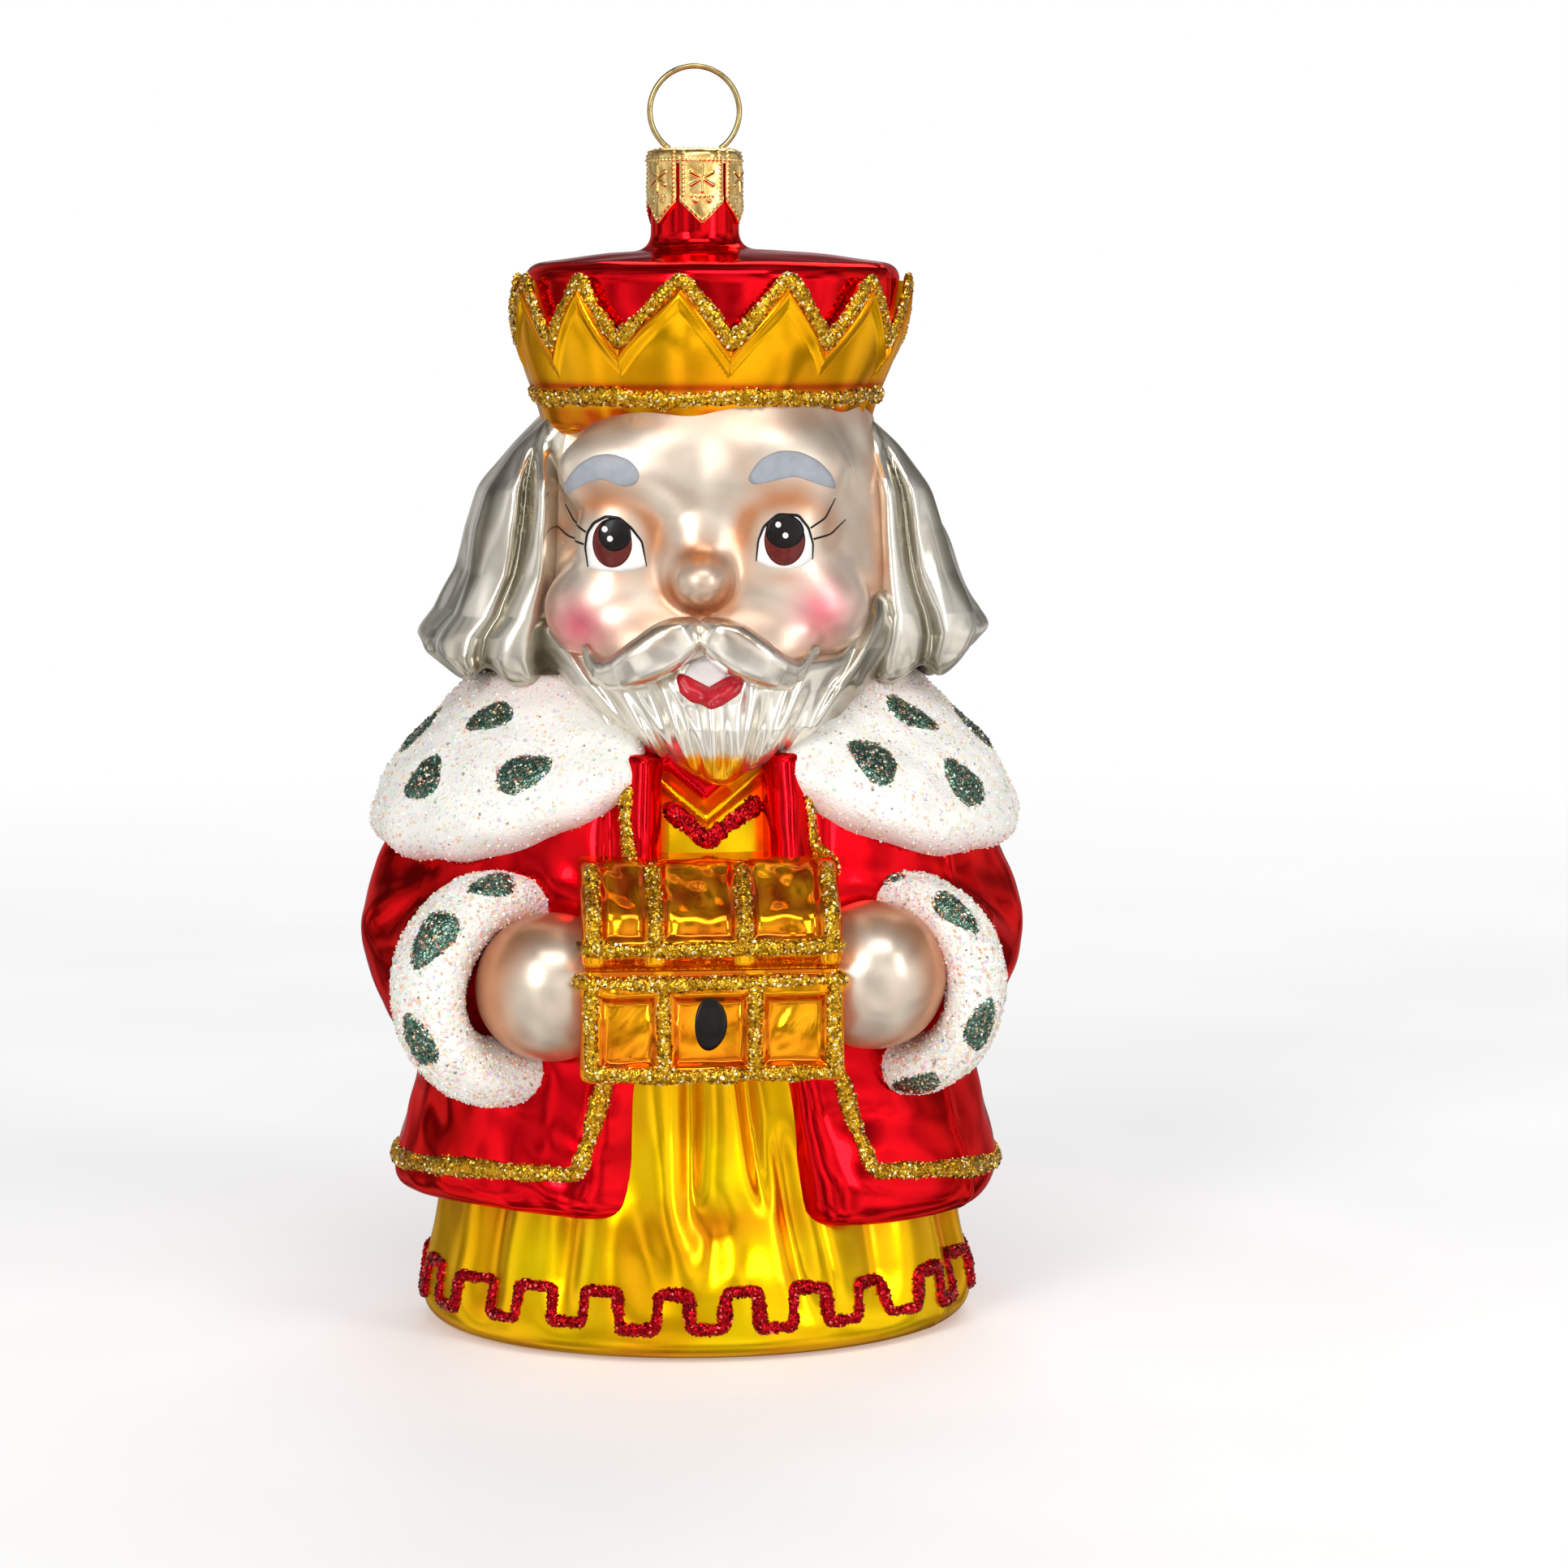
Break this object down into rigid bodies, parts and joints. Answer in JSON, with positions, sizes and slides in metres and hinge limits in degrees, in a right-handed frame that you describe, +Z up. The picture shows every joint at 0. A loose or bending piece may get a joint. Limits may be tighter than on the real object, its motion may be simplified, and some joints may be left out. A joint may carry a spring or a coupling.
{
  "type": "blown glass christmas ornament",
  "caption": "Hanging blown-glass ornament of a bearded king in robe and crown who holds a treasure chest, with a leaf cap and a wire ring to hang it by",
  "frame": {"origin": "centre of the flat glass base that the figure stands on", "axes": "+Z up to the hanging ring, -Y the way the face looks, +X the figure's own left hand"},
  "size_m": [0.0676, 0.0558, 0.1279],
  "materials": {
    "red_glass": "thin blown glass, silvered inside, transparent red lacquer outside, mirror gloss",
    "gold_satin_glass": "silvered glass under yellow-gold satin lacquer",
    "amber_satin_glass": "silvered glass under amber satin lacquer",
    "amber_glass": "silvered glass under transparent amber lacquer, glossy",
    "pearl_glass": "silvered glass under pale peach pearl lacquer, satin",
    "silver_satin_glass": "silvered glass left bare under a matt clear lacquer",
    "snow_glitter": "white glitter snow on glue, fine iridescent flakes",
    "gold_glitter": "gold glitter flakes in a raised line of glue",
    "red_glitter": "red glitter flakes in a raised line of glue",
    "green_glitter": "dark green glitter with a few copper flakes",
    "brown_enamel": "hand-painted eye in white, brown and black enamel",
    "grey_enamel": "hand-painted blue-grey enamel",
    "red_enamel": "hand-painted red enamel",
    "white_enamel": "hand-painted white enamel",
    "black_enamel": "hand-painted black enamel",
    "gold_cap_metal": "thin pressed sheet, embossed, gold finish",
    "gold_wire_metal": "hard-drawn spring wire, gold finish"
  },
  "bodies": {
    "glass_figure": {"gown": "gold_satin_glass", "robe": "red_glass", "sleeve_left": "red_glass", "sleeve_right": "red_glass", "ermine_collar": "snow_glitter", "cuff_left": "snow_glitter", "cuff_right": "snow_glitter", "hand_left": "pearl_glass", "hand_right": "pearl_glass", "face": "pearl_glass", "chest_box": "amber_glass", "chest_lid": "amber_glass", "beard": "silver_satin_glass", "moustache": "silver_satin_glass", "hair": "silver_satin_glass", "crown_wall": "amber_satin_glass", "crown_cushion": "red_glass", "neck": "red_glass", "hem_braid": "red_glitter", "neckline_braid": "red_glitter", "robe_trim_left": "gold_glitter", "robe_trim_right": "gold_glitter", "lapel_trim_left": "gold_glitter", "lapel_trim_right": "gold_glitter", "chest_straps": "gold_glitter", "crown_point_trim": "gold_glitter", "crown_band_trim": "gold_glitter", "collar_spots": "green_glitter", "cuff_spots_left": "green_glitter", "cuff_spots_right": "green_glitter", "eye_left": "brown_enamel", "eye_right": "brown_enamel", "eyebrow_left": "grey_enamel", "eyebrow_right": "grey_enamel", "lips": "red_enamel", "teeth": "white_enamel", "keyhole": "black_enamel"},
    "cap": {"cap": "gold_cap_metal"},
    "hanger": {"wire_hanger": "gold_wire_metal"}
  },
  "joints": [
    {"name": "cap_lift", "type": "slide", "parent": "glass_figure", "child": "cap", "axis": [0, 0, 1], "range_m": [0, 0.012]},
    {"name": "ring_tilt", "type": "hinge", "parent": "cap", "child": "hanger", "pos_m": [0, 0, 0.11915], "axis": [1, 0, 0], "range_deg": [-10, 10]}
  ]
}
